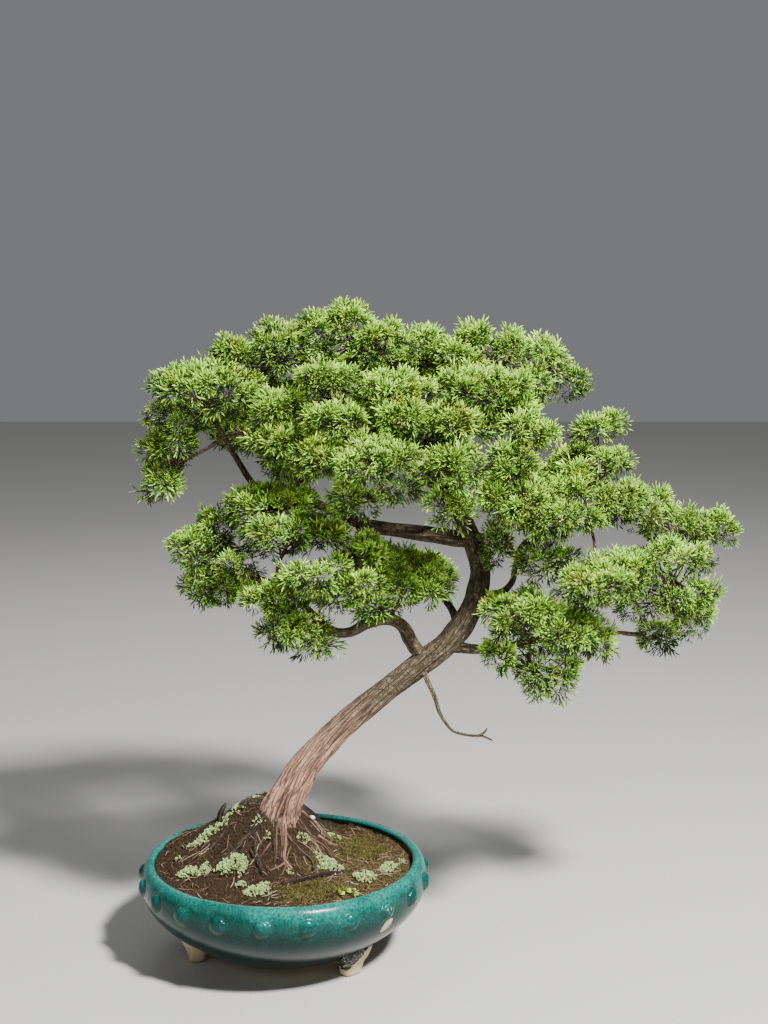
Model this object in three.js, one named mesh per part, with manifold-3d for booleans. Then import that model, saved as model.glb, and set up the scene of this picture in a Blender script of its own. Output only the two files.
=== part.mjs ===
// A juniper bonsai: a leaning trunk with cloud-like foliage pads, in a round glazed drum pot on three feet.
// Millimetres, +Z up, front towards -Y. Pieces are drawn about the pot's axis, from the surface it stands
// on, and the finished group is then moved so that the origin is at the middle of the whole tree's footprint.

import * as THREE from 'three';
import { mergeVertices } from 'three/addons/utils/BufferGeometryUtils.js';
import Module from 'manifold-3d';

// ---- Driving dimensions ----

const rimHeight = 116; // top of the rim above the table
const bellyRadius = 172; // widest part of the pot
const bellyHeight = 92; // height of the widest part
const bellyTaper = 2.2; // 1 rounds the bowl below the belly, 2 draws it in almost straight
const mouthRadius = 155; // clear opening inside the rim
const baseRadius = 100; // underside of the bowl
const wall = 9;
const floorThickness = 10;
const drainRadius = 14;

const footHeight = 16;
const footRing = 108; // distance of each foot from the axis
const footTopRadius = 21;
const footSoleRadius = 14;
const footAngles = [-42, 78, 198]; // degrees from +X

const studCount = 21;
const studRadius = 10;
const studRise = 5; // how far a stud stands out of the wall
const studHeight = 95;
const firstStudAngle = -94.8;

const netBars = 4; // bars each way of the plastic net over the drainage hole
const netPitch = 10;
const netBarWidth = 2.4;
const netThickness = 1.2;
const wireRadius = 0.8;

const soilDrop = 9; // soil surface below the rim, at the wall
const moundHeight = 76; // top of the mound above that surface
const moundX = -10;
const moundY = 32;
const moundSpread = { left: 68, right: 40, front: 50, back: 45 };

const treeHeight = 610; // from the trunk's collar to the top of the crown
const crownWidth = 690;
const crownDepth = 330;
const trunkGirth = 1; // multiplies every limb's thickness

const clearance = 0.4; // gap between neighbouring pieces
const soilMargin = 1.8; // gap between the soil's facets and the pot's, which are fewer

// The limbs and pads below are laid out for a tree of these sizes, and stretch with the three above;
// roots and ground cover are laid out for this mouth.
const drawnHeight = 610;
const drawnWidth = 690;
const drawnDepth = 330;
const drawnMouth = 155;

// ---- Solids ----

const wasm = await Module();
wasm.setup();

/** Turns a closed geometry into a solid, with its vertices in place. */
function solid(geometry, matrix = new THREE.Matrix4()) {
  let plain = geometry.clone().applyMatrix4(matrix);
  plain.deleteAttribute('normal');
  plain.deleteAttribute('uv');
  plain = mergeVertices(plain, 1e-4);
  const vertProperties = new Float32Array(plain.attributes.position.array);
  const kept = [];
  const index = plain.index.array;
  for (let i = 0; i < index.length; i += 3) {
    const [a, b, c] = [index[i], index[i + 1], index[i + 2]];
    if (a !== b && b !== c && c !== a) kept.push(a, b, c);
  }
  return new wasm.Manifold(new wasm.Mesh({ numProp: 3, vertProperties, triVerts: new Uint32Array(kept) }));
}

/** Adds up a list of solids. */
const joined = (solids) => solids.reduce((sum, next) => sum.add(next));

/** Moves, turns and stretches a shape in one matrix; turn is about Z, in degrees. */
function placed(x, y, z, turn = 0, scale = [1, 1, 1]) {
  const spin = new THREE.Quaternion();
  spin.setFromAxisAngle(new THREE.Vector3(0, 0, 1), THREE.MathUtils.degToRad(turn));
  return new THREE.Matrix4().compose(new THREE.Vector3(x, y, z), spin, new THREE.Vector3(...scale));
}

/** Revolves a profile of [radius, height] pairs about the pot's axis. */
function revolved(profile, segments) {
  const lathe = new THREE.LatheGeometry(profile.map(([r, z]) => new THREE.Vector2(r, z)), segments);
  return lathe.rotateX(Math.PI / 2);
}

// ---- Pot ----

const bowlSegments = 32;
const quarter = (steps) => Array.from({ length: steps + 1 }, (_, i) => (i / steps) * (Math.PI / 2));
const crestRadius = mouthRadius + 4;
const innerBelly = bellyRadius - wall;
const floorTop = footHeight + floorThickness;

/** Radius of the outer wall on the shoulder above the belly: an ellipse that closes in on the rim's crest. */
const shoulderAt = (z) => {
  const rise = (z - bellyHeight) / (rimHeight - bellyHeight);
  return crestRadius + (bellyRadius - crestRadius) * Math.sqrt(Math.max(0, 1 - rise * rise));
};

/** Inner wall of the bowl, from the mouth down to the floor, moved inwards by a margin. */
function innerWall(margin) {
  const lipZ = rimHeight - 5;
  const floorZ = floorTop + margin;
  const upper = quarter(2).reverse().map((a) => [
    mouthRadius + (innerBelly - mouthRadius) * Math.cos(a) - margin,
    bellyHeight + (lipZ - bellyHeight) * Math.sin(a),
  ]);
  const lower = quarter(3).reverse().slice(1).map((a) => [
    baseRadius + (innerBelly - baseRadius) * Math.sin(a) ** bellyTaper - margin,
    floorZ + (bellyHeight - floorZ) * (1 - Math.cos(a)),
  ]);
  return [...upper, ...lower];
}

function bowl() {
  const lower = quarter(4).map((a) => [
    baseRadius + (bellyRadius - baseRadius) * Math.sin(a) ** bellyTaper,
    footHeight + (bellyHeight - footHeight) * (1 - Math.cos(a)),
  ]);
  const shoulder = quarter(4).slice(1).map((a) => [
    crestRadius + (bellyRadius - crestRadius) * Math.cos(a),
    bellyHeight + (rimHeight - bellyHeight) * Math.sin(a),
  ]);
  const lip = [[mouthRadius + 1, rimHeight - 1.5]];
  const [under, over] = [[drainRadius, footHeight], [drainRadius, floorTop]];
  const profile = [under, ...lower, ...shoulder, ...lip, ...innerWall(0), over, under];
  return solid(revolved(profile, bowlSegments));
}

/** The room inside the bowl, up through the mouth, moved inwards by a margin. */
function bowlRoom(margin) {
  const high = rimHeight + moundHeight + 100;
  const throat = mouthRadius - margin;
  const sides = innerWall(margin).reverse();
  const room = [[0, floorTop], [drainRadius, floorTop], ...sides, [throat, high], [0, high]];
  return solid(revolved(room, bowlSegments));
}

function studs() {
  const middle = shoulderAt(studHeight);
  const lean = Math.atan2(shoulderAt(studHeight - 2) - shoulderAt(studHeight + 2), 4); // wall's slope there
  const dome = new THREE.CylinderGeometry(0.45 * studRadius, 1.45 * studRadius, 2 * studRise, 7);
  dome.rotateZ(-Math.PI / 2).rotateY(-lean).translate(middle, 0, studHeight);
  return Array.from({ length: studCount }, (_, i) => (
    solid(dome, placed(0, 0, 0, firstStudAngle + (i * 360) / studCount))
  ));
}

/** Feet that widen upwards into the underside of the bowl, and stop at its inside. */
function feet() {
  const height = footHeight + 1.6 * floorThickness;
  const foot = new THREE.CylinderGeometry(footTopRadius, footSoleRadius, height, 9);
  foot.rotateX(Math.PI / 2).scale(0.85, 1, 1).translate(footRing, 0, height / 2);
  return footAngles.map((angle) => solid(foot, placed(0, 0, 0, angle)).subtract(bowlRoom(0)));
}

const pot = joined([bowl(), ...studs(), ...feet()]);

// ---- Drainage net and its wire ----

/** Crossed bars, with an opening over the middle and one to each side of it. */
function drainageNet() {
  const length = (netBars - 1) * netPitch + netBarWidth;
  const bar = new THREE.BoxGeometry(length, netBarWidth, netThickness);
  const z = floorTop + clearance + netThickness / 2;
  const places = Array.from({ length: netBars }, (_, i) => (i - (netBars - 1) / 2) * netPitch);
  return joined(places.flatMap((at) => [solid(bar, placed(0, at, z)), solid(bar, placed(at, 0, z, 90))]));
}

/** Radius of a limb at a share of its length, read from its route's points. */
function radiusAt(route, share) {
  const at = share * (route.length - 1);
  const i = Math.min(Math.floor(at), route.length - 2);
  return THREE.MathUtils.lerp(route[i][3], route[i + 1][3], at - i);
}

const curveOf = (route) => new THREE.CatmullRomCurve3(
  route.map(([x, y, z]) => new THREE.Vector3(x, y, z)), false, 'centripetal',
);

/** A round limb along a route of [x, y, z, radius] points: a tube whose rings taper, closed by two cones. */
function limb(route, { sides = 6, stepsEach = 1, grow = 0 } = {}) {
  const path = curveOf(route);
  const steps = (route.length - 1) * stepsEach;
  const tube = new THREE.TubeGeometry(path, steps, 1, sides, false);
  const ring = tube.attributes.position;
  const points = [];
  const vertex = new THREE.Vector3();
  for (let s = 0; s <= steps; s += 1) {
    const centre = path.getPointAt(s / steps);
    const radius = radiusAt(route, path.getUtoTmapping(s / steps)) + grow;
    const end = s === 0 ? -grow : s === steps ? grow : 0;
    const push = path.getTangentAt(s / steps).multiplyScalar(end);
    for (let k = 0; k < sides; k += 1) {
      vertex.fromBufferAttribute(ring, s * (sides + 1) + k).sub(centre);
      vertex.multiplyScalar(radius).add(centre).add(push);
      points.push(vertex.x, vertex.y, vertex.z);
    }
  }
  const tips = [0, steps].map((s) => {
    const radius = radiusAt(route, path.getUtoTmapping(s / steps)) + grow;
    const out = path.getTangentAt(s / steps).multiplyScalar((s === 0 ? -1 : 1) * (0.5 * radius + grow));
    const tip = path.getPointAt(s / steps).add(out);
    points.push(tip.x, tip.y, tip.z);
    return points.length / 3 - 1;
  });
  const faces = [];
  for (let s = 0; s < steps; s += 1) {
    for (let k = 0; k < sides; k += 1) {
      const [a, b] = [s * sides + k, s * sides + ((k + 1) % sides)];
      faces.push(a, a + sides, b, b, a + sides, b + sides);
    }
  }
  for (let k = 0; k < sides; k += 1) {
    const next = (k + 1) % sides;
    faces.push(tips[0], k, next, tips[1], steps * sides + next, steps * sides + k);
  }
  const closed = new THREE.BufferGeometry();
  closed.setAttribute('position', new THREE.Float32BufferAttribute(points, 3));
  closed.setIndex(faces);
  return solid(closed);
}

function netWire(grow) {
  const [under, over] = [footHeight - 2, floorTop + clearance + netThickness + 1.6];
  const outside = drainRadius + 8;
  const route = [[-outside, under], [-drainRadius + 2, under], [-netPitch, floorTop - 6],
    [-netPitch, over],
    [netPitch, over], [netPitch, floorTop - 6], [drainRadius - 2, under], [outside, under]];
  return limb(route.map(([x, z]) => [x, 0, z, wireRadius]), { sides: 5, stepsEach: 2, grow });
}

// ---- Soil ----

/** Height of the soil's surface: level ground with one mound that falls off at its own rate on each side. */
function soilTop(x, y) {
  const across = (x - moundX) / (x < moundX ? moundSpread.left : moundSpread.right);
  const along = (y - moundY) / (y < moundY ? moundSpread.front : moundSpread.back);
  return rimHeight - soilDrop + moundHeight * Math.exp(-(across * across + along * along) / 2);
}

/** Lifts the points of a shape that lie above a level, so that the shape follows the soil's surface. */
function draped(geometry, level, lift) {
  const p = geometry.attributes.position;
  for (let i = 0; i < p.count; i += 1) {
    if (p.getZ(i) > level - 0.01) p.setZ(i, p.getZ(i) - level + soilTop(p.getX(i), p.getY(i)) + lift);
  }
  return geometry;
}

function soilBlock(lift) {
  const level = 1000; // the surface is drawn at this height before it is draped
  const netReach = (netBars * netPitch) / Math.SQRT2 + 1;
  const netRoom = [[netReach + 1, floorTop + 2 * clearance], [netReach, floorTop + 7], [0, floorTop + 7]];
  const sides = innerWall(soilMargin).filter(([, z]) => z < rimHeight - 2 * soilDrop);
  const edge = mouthRadius - 2 * soilMargin;
  const rings = [0, 0.16, 0.33, 0.53, 0.77, 1].map((share) => [share * edge, level]);
  const block = solid(draped(revolved([...rings, ...sides, ...netRoom].reverse(), 20), level, lift));
  return block.intersect(bowlRoom(clearance));
}

// ---- Wood: one piece, from the surface roots to the twigs ----

const collarHeight = soilTop(5, 12);

/** A point of the tree, across and deep from the pot's axis and up from the collar, with its own stretch. */
const inTree = ([x, y, z, ...rest]) => [
  (x * crownWidth) / drawnWidth,
  (y * crownDepth) / drawnDepth,
  collarHeight + (z * treeHeight) / drawnHeight,
  ...rest,
];

const trunkRoute = [
  [-8, 14, -32, 27], [-5, 12, -8, 25], [3, 10, 12, 22], [28, 6, 57, 19], [60, 2, 95, 17], [94, -2, 127, 16],
  [130, -5, 157, 15.5], [165, -8, 185, 16], [195, -8, 209, 15.5], [217, -5, 238, 14.5], [230, 0, 266, 13.5],
  [234, 5, 296, 13], [226, 8, 324, 12.5], [212, 10, 354, 12], [198, 12, 390, 11], [186, 14, 430, 10],
  [168, 12, 477, 8.5], [145, 12, 522, 6.5], [115, 12, 552, 4.5], [90, 10, 575, 3],
];

const branchRoutes = {
  lowLeft: [[168, -6, 187, 9], [152, -16, 213, 8.5], [143, -22, 231, 8], [127, -30, 242, 7.5],
    [102, -38, 239, 7],
    [80, -44, 230, 6.5], [58, -50, 234, 6], [33, -52, 258, 5], [2, -50, 284, 4], [-33, -42, 296, 3.4],
    [-68, -30, 300, 2.6]],
  bigLeft: [[217, 8, 330, 10], [191, 0, 335, 9.5], [157, -6, 341, 9], [122, -10, 346, 8.5],
    [87, -15, 355, 7.5],
    [52, -15, 372, 6.5], [11, -10, 383, 5.5], [-26, -5, 392, 4.5], [-52, -5, 430, 3.6],
    [-74, -8, 470, 2.8]],
  right: [[232, 2, 264, 6.5], [257, -6, 269, 5.5], [270, -12, 283, 5], [274, -16, 305, 4.6],
    [283, -18, 330, 4.2],
    [315, -20, 343, 4], [359, -18, 357, 3.4], [407, -10, 364, 2.8], [455, 0, 350, 2.2]],
  lowRight: [[198, -8, 206, 8.5], [222, -14, 203, 7], [256, -20, 205, 5.5], [303, -24, 217, 4.5],
    [344, -20, 222, 3.8], [385, 5, 219, 3.2], [430, 40, 208, 2.4]],
  front: [[213, 8, 352, 7], [205, -22, 378, 6], [185, -60, 398, 5], [155, -90, 420, 4],
    [115, -100, 452, 3]],
  backRight: [[232, 6, 300, 7], [242, 40, 322, 6], [262, 78, 342, 5], [292, 112, 356, 4]],
  backLeft: [[200, 12, 386, 7], [172, 48, 408, 6], [136, 84, 424, 5], [92, 112, 432, 4]],
  upRight: [[190, 14, 420, 6.5], [208, 16, 462, 5.5], [232, 18, 500, 4.5], [268, 20, 528, 3.5],
    [312, 20, 530, 2.6]],
  backLow: [[208, -4, 226, 6], [202, 36, 240, 5], [186, 74, 252, 4], [160, 104, 258, 3.2]],
  deadTwig: [[165, -8, 184, 5], [171, -24, 168, 4], [180, -34, 150, 3.2], [186, -40, 132, 2.6],
    [200, -46, 114, 2.2],
    [220, -50, 109, 1.8], [244, -52, 110, 1.4]],
};

/** Surface roots: points across and deep from the axis, and the root's radius; each follows the soil. */
const rootRoutes = {
  pale: [[-2, 4, 7], [0, -12, 5], [2, -28, 4], [2, -44, 3.2], [12, -56, 2.4]],
  paleSecond: [[-8, 0, 5], [-9, -18, 3.4], [-8, -34, 2.8], [-8, -50, 2]],
  dark: [[-12, 4, 9], [-28, -8, 7], [-42, -20, 5.5], [-58, -32, 4], [-74, -42, 2.6]],
  ridge: [[-18, 16, 10], [-44, 24, 8], [-70, 26, 6], [-96, 18, 4.4], [-116, 2, 3]],
  low: [[-34, -14, 4], [-32, -36, 4], [-22, -60, 4], [-14, -72, 2.6]],
  right: [[16, 4, 7], [32, -4, 5], [46, -2, 3.6], [60, -12, 2.8], [76, -12, 2]],
  back: [[12, 26, 10], [30, 44, 7], [52, 66, 5], [70, 88, 3.4]],
};

/** A distance along the soil, keeping its share of the mouth's width. */
const inMouth = (distance) => (distance * mouthRadius) / drawnMouth;

const alongSoil = (route) => (
  route.map(([x, y, r]) => [inMouth(x), inMouth(y), soilTop(inMouth(x), inMouth(y)) - 0.2 * r, r])
);
const thick = (route) => route.map(([x, y, z, r]) => [x, y, z, r * trunkGirth]);

/** Mounds of foliage: each lump is [across, deep, up, half width, half height]; those of a pad run together. */
const padLumps = {
  crown_apex_pad: [[80, 10, 575, 30, 35], [108, 5, 558, 38, 28], [45, 10, 558, 30, 34]],
  crown_left_pad: [[0, 10, 553, 35, 30], [-48, 5, 545, 30, 21], [-23, 40, 525, 34, 26],
    [22, 30, 558, 30, 24]],
  crown_middle_pad: [[162, 22, 550, 34, 30], [200, 0, 545, 30, 20]],
  crown_right_pad: [[228, 25, 556, 30, 26], [266, 20, 547, 28, 28], [303, 20, 519, 32, 24]],
  crown_right_tip_pad: [[304, 25, 545, 28, 25], [332, 15, 516, 26, 24]],
  left_upper_pad: [[-78, -15, 507, 58, 30], [-112, -10, 474, 36, 24], [-66, 30, 507, 32, 24]],
  left_edge_pad: [[-128, 0, 440, 30, 22], [-138, 5, 402, 22, 24]],
  front_top_left_pad: [[55, -65, 520, 38, 20]],
  front_upper_left_pad: [[5, -60, 490, 30, 20]],
  front_top_pad: [[127, -75, 510, 38, 22], [175, -80, 500, 28, 22]],
  front_upper_pad: [[70, -95, 480, 38, 21]],
  front_upper_middle_pad: [[140, -105, 480, 35, 22], [195, -108, 480, 32, 22], [174, -70, 465, 36, 26]],
  front_top_right_pad: [[233, -70, 513, 48, 21], [252, -55, 484, 40, 28]],
  front_right_pad: [[270, -75, 467, 42, 23]],
  front_left_pad: [[5, -70, 450, 34, 22], [52, -98, 440, 34, 23]],
  front_middle_pad: [[117, -138, 437, 46, 26]],
  front_low_pad: [[85, -122, 396, 30, 20], [130, -130, 408, 32, 20]],
  front_middle_right_pad: [[194, -138, 428, 32, 30], [192, -125, 388, 28, 26]],
  front_right_low_pad: [[253, -108, 433, 30, 22], [270, -90, 393, 44, 27], [312, -60, 370, 54, 22],
    [305, -40, 355, 34, 22]],
  right_upper_pad: [[370, -2, 456, 26, 24], [368, -10, 420, 44, 23], [354, -5, 423, 30, 22]],
  right_middle_pad: [[350, -35, 386, 46, 27], [400, -12, 378, 32, 24], [429, 0, 364, 32, 22]],
  right_end_upper_pad: [[447, 0, 353, 30, 25], [482, 5, 335, 30, 28], [514, 10, 342, 20, 20]],
  right_end_low_pad: [[459, -25, 310, 42, 25], [462, -25, 269, 44, 26], [487, 0, 236, 24, 24],
    [426, -10, 261, 32, 28]],
  right_inner_pad: [[303, -50, 310, 25, 29], [342, -30, 279, 32, 24], [318, -30, 317, 28, 20]],
  right_inner_low_pad: [[366, -60, 292, 46, 22], [395, -45, 303, 34, 22]],
  low_right_upper_pad: [[279, -45, 253, 45, 23]],
  low_right_pad: [[315, -30, 228, 58, 26], [366, -8, 216, 28, 25]],
  low_right_drop_pad: [[262, -48, 212, 28, 30], [309, -40, 184, 38, 33]],
  low_right_tip_pad: [[451, 55, 203, 24, 18]],
  left_low_top_pad: [[-9, -30, 375, 52, 24]],
  left_low_front_pad: [[11, -60, 345, 47, 31]],
  left_low_edge_pad: [[-62, -25, 346, 35, 24], [-95, -25, 326, 37, 25], [-13, -30, 326, 38, 28]],
  left_low_side_pad: [[-79, -10, 279, 40, 25]],
  left_low_middle_pad: [[-28, -50, 316, 39, 28], [0, -68, 280, 41, 25], [13, -45, 286, 34, 25]],
  left_low_inner_pad: [[40, -85, 308, 45, 25], [64, -55, 276, 31, 23]],
  left_low_right_pad: [[52, -75, 341, 34, 25], [92, -70, 326, 31, 25], [95, -75, 295, 34, 25]],
  left_low_drop_pad: [[22, -60, 241, 44, 26], [36, -55, 221, 28, 21]],
  trunk_side_pad: [[139, -50, 277, 26, 26], [107, -50, 260, 25, 17], [172, -46, 278, 20, 17]],
  hanging_sprig_pad: [[250, -30, 329, 16, 28]],
  back_top_pad: [[90, 85, 510, 55, 31], [165, 90, 505, 53, 31]],
  back_upper_left_pad: [[5, 75, 480, 51, 31], [-45, 50, 455, 42, 26]],
  back_upper_right_pad: [[245, 85, 490, 55, 31]],
  back_left_pad: [[85, 125, 440, 58, 33], [20, 110, 415, 47, 29]],
  back_right_pad: [[295, 125, 372, 54, 30], [355, 85, 400, 44, 26]],
  back_low_pad: [[155, 110, 268, 50, 26], [108, 86, 290, 42, 24]],
};

const padDepth = 1.1; // a lump's depth, as a share of its width
const twigRadius = { base: 3.4, tip: 1.8 };

/** The point of the trunk and branches that is nearest to a place, with the limb's radius there. */
function nearestOnLimbs(limbs, [x, y, z]) {
  let best = { distance: Infinity };
  const place = new THREE.Vector3(x, y, z);
  for (const route of limbs) {
    const curve = curveOf(route);
    for (let i = 0; i <= 40; i += 1) {
      const point = curve.getPoint(i / 40);
      const distance = point.distanceTo(place);
      if (distance < best.distance) best = { distance, point, radius: radiusAt(route, i / 40) };
    }
  }
  return best;
}

/** A twig from the nearest limb into a pad's first lump; it sags a little and then rises into the lump. */
function twigRoute(limbs, lump) {
  const [x, y, z, , halfHeight] = inTree(lump);
  const target = new THREE.Vector3(x, y, z - 0.3 * halfHeight);
  const { point, radius } = nearestOnLimbs(limbs, target.toArray());
  const bend = point.clone().lerp(target, 0.55);
  bend.z -= 0.06 * point.distanceTo(target);
  const base = Math.min(twigRadius.base, 0.7 * radius);
  return [
    [...point.toArray(), base],
    [...bend.toArray(), (base + twigRadius.tip) / 2],
    [...target.toArray(), twigRadius.tip],
  ];
}

const mainRoutes = [trunkRoute, ...Object.values(branchRoutes)].map((route) => thick(route.map(inTree)));
const carrying = mainRoutes.slice(0, -1); // all but the dead twig
const twigRoutes = Object.values(padLumps).map(([mainLump]) => twigRoute(carrying, mainLump));
const roots = Object.values(rootRoutes).map((route) => thick(alongSoil(route)));

/** Everything that grew as one: the trunk, its branches, twigs and roots, swollen by a margin if asked. */
const wood = (grow) => joined([
  limb(mainRoutes[0], { sides: 7, grow }),
  ...mainRoutes.slice(1).map((route) => limb(route, { sides: 5, grow })),
  ...roots.map((route) => limb(route, { sides: 4, grow })),
  ...twigRoutes.map((route) => limb(route, { sides: 3, grow })),
]);

const trunkWithBranches = wood(0);
const aroundWood = wood(1.6 * clearance);

// ---- What lies on the soil ----

/** A low cushion on the soil: [x, y, half length, half width, thickness, turn]. */
const groundCover = {
  moss_front: [38, -96, 46, 26, 4, 12],
  moss_right: [90, 36, 40, 40, 4, 0],
  lichen_left_large: [-59, -54, 17, 17, 12, 0],
  lichen_front: [-22, -94, 18, 12, 8, 20],
  lichen_middle: [54, -34, 20, 14, 9, -35],
  lichen_right: [99, -56, 16, 14, 9, 0],
  lichen_far_right: [128, -17, 12, 12, 8, 0],
  lichen_left: [-104, -50, 22, 12, 7, 20],
  lichen_ridge: [-86, 8, 34, 11, 7, 32],
};

function cushion([x, y, halfLength, halfWidth, thickness, turn]) {
  const lens = revolved([[0, 0], [0.5, 0], [1, 0], [0.85, 0.5], [0.5, 0.85], [0, 1]], 8);
  const reach = [inMouth(halfLength), inMouth(halfWidth), thickness];
  const shape = lens.applyMatrix4(placed(inMouth(x), inMouth(y), 0, turn, reach));
  return solid(draped(shape, 0, clearance));
}

// ---- Assembly ----

const materials = {
  glaze: { color: 0x1f6f66, roughness: 0.25, metalness: 0 },
  net: { color: 0x1c1c1c, roughness: 0.6, metalness: 0 },
  wire: { color: 0x9a9a9a, roughness: 0.4, metalness: 1 },
  soil: { color: 0x3b2a1c, roughness: 1, metalness: 0 },
  bark: { color: 0x8a6048, roughness: 0.9, metalness: 0 },
  moss: { color: 0x5a5a24, roughness: 1, metalness: 0 },
  lichen: { color: 0xa9c99a, roughness: 1, metalness: 0 },
  foliage: { color: 0x6f9440, roughness: 0.8, metalness: 0 },
};

const bonsai = new THREE.Group();

function piece(name, shape, finish) {
  const { vertProperties, triVerts } = shape.getMesh();
  const geometry = new THREE.BufferGeometry();
  geometry.setAttribute('position', new THREE.Float32BufferAttribute(vertProperties, 3));
  geometry.setIndex(new THREE.Uint32BufferAttribute(triVerts, 1));
  const mesh = new THREE.Mesh(geometry, new THREE.MeshStandardMaterial(materials[finish]));
  mesh.name = name;
  bonsai.add(mesh);
}

piece('pot', pot, 'glaze');
piece('drainage_net', drainageNet(), 'net');
piece('net_wire', netWire(0), 'wire');
piece('soil', soilBlock(0).subtract(aroundWood), 'soil');
piece('trunk_with_branches', trunkWithBranches, 'bark');

let lying = joined([aroundWood, soilBlock(clearance)]);
for (const [name, size] of Object.entries(groundCover)) {
  piece(name, cushion(size).subtract(lying), name.split('_')[0]);
  const [x, y, halfLength, halfWidth, thickness, turn] = size;
  const wider = [x, y, halfLength + clearance, halfWidth + clearance, thickness + clearance, turn];
  lying = lying.add(cushion(wider));
}

const broadLump = 44; // a lump wider than this has finer facets
const eggSwell = 1.08; // facets cut corners off an egg, so it is made this much larger

/** One lump of foliage as a faceted egg, swollen by a margin. */
function lumpSolid(lump, grow) {
  const [x, y, z, halfWidth, halfHeight] = lump;
  const egg = new THREE.IcosahedronGeometry(eggSwell, halfWidth > broadLump ? 1 : 0).rotateX(Math.PI / 2);
  const halfDeep = padDepth * halfWidth;
  const reach = [
    (halfWidth * crownWidth) / drawnWidth + grow,
    (halfDeep * crownDepth) / drawnDepth + grow,
    (halfHeight * treeHeight) / drawnHeight + grow,
  ];
  return solid(egg, placed(...inTree([x, y, z]), 0, reach));
}

let taken = aroundWood;
for (const [name, lumps] of Object.entries(padLumps)) {
  piece(name, joined(lumps.map((lump) => lumpSolid(lump, 0))).subtract(taken), 'foliage');
  taken = joined([taken, ...lumps.map((lump) => lumpSolid(lump, 1.6 * clearance))]);
}

const footprint = new THREE.Box3().setFromObject(bonsai).getCenter(new THREE.Vector3());
bonsai.position.set(-footprint.x, -footprint.y, 0);

export default bonsai;
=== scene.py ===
"""A juniper bonsai in a glazed drum pot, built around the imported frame.

Shapes are worked out in millimetres about the pot's axis, with z up from the surface the feet stand on. They
are moved into the frame, in metres, when a piece is made. The front is -Y and the trunk leans towards +X.
"""

import math

import bpy
import numpy as np
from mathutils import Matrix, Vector
from mathutils.bvhtree import BVHTree


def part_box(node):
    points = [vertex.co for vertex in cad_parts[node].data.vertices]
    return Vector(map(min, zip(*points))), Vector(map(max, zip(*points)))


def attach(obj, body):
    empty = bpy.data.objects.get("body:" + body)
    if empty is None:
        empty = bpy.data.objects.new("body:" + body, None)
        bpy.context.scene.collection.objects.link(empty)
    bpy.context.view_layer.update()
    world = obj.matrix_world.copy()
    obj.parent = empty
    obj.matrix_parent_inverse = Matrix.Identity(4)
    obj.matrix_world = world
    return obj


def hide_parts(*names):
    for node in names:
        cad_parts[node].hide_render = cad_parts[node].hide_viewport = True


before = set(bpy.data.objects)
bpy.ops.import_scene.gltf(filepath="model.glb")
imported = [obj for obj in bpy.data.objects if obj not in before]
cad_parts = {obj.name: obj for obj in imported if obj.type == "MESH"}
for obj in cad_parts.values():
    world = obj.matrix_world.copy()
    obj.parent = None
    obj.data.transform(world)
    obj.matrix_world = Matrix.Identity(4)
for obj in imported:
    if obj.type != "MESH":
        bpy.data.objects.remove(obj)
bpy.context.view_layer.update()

MM = 0.001
TAU = 2 * math.pi
UP = np.array([0.0, 0.0, 1.0])


# ---- places taken from the frame

def box_mm(node):
    """Lowest and highest corner of a CAD node, in millimetres, still in the frame's own origin."""
    low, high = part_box(node)
    return np.array(low) / MM, np.array(high) / MM


soil_low, soil_high = box_mm("soil")
AXIS = np.array([*(soil_low + soil_high)[:2] / 2, 0.0])  # the pot's axis
RIM = box_mm("pot")[1][2]
COLLAR = RIM + 56.0  # where the trunk leaves the soil

FOOT_HEIGHT = 16.0
BELLY_HEIGHT = 92.0
BELLY_TAPER = 2.2
BELLY_RADIUS = 172.0
BASE_RADIUS = 100.0
MOUTH_RADIUS = 155.0
CREST_RADIUS = MOUTH_RADIUS + 4.0
WALL = 9.0
FLOOR_TOP = FOOT_HEIGHT + 10.0
DRAIN_RADIUS = 14.0
SOIL_LEVEL = RIM - 9.0


# ---- numbers and arrays

def unit(vectors):
    """Each vector divided by its length."""
    return vectors / np.maximum(np.linalg.norm(vectors, axis=-1, keepdims=True), 1e-9)


def smoothstep(low, high, value):
    """Rises from 0 at low to 1 at high as 3t^2 - 2t^3."""
    t = np.clip((value - low) / (high - low), 0.0, 1.0)
    return t * t * (3 - 2 * t)


def lattice_noise(points, cell, seed):
    """Smooth noise from -1 to 1: hashed values at the corners of a cubic lattice, blended by 3t^2 - 2t^3."""
    scaled = np.asarray(points, float) / cell
    corner = np.floor(scaled).astype(np.int64)
    t = scaled - corner
    t = t * t * (3 - 2 * t)
    total = np.zeros(len(scaled))
    for step in np.ndindex(2, 2, 2):
        x, y, z = (corner + step).T
        key = (x * 73856093) ^ (y * 19349663) ^ (z * 83492791) ^ (seed * 2654435761)
        key = ((key ^ (key >> 15)) * 2246822519) & 0xFFFFFFFF
        key = ((key ^ (key >> 13)) * 3266489917) & 0xFFFFFFFF
        value = (key & 0xFFFF) / 32767.5 - 1.0
        total += value * np.prod(np.where(step, t, 1 - t), axis=1)
    return total


def layered_noise(points, cell, octaves, seed):
    """A sum of lattice noises, each half the size and half the strength of the one before."""
    layers = [lattice_noise(points, cell / 2**k, seed + k) / 2**k for k in range(octaves)]
    return np.sum(layers, axis=0)


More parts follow.
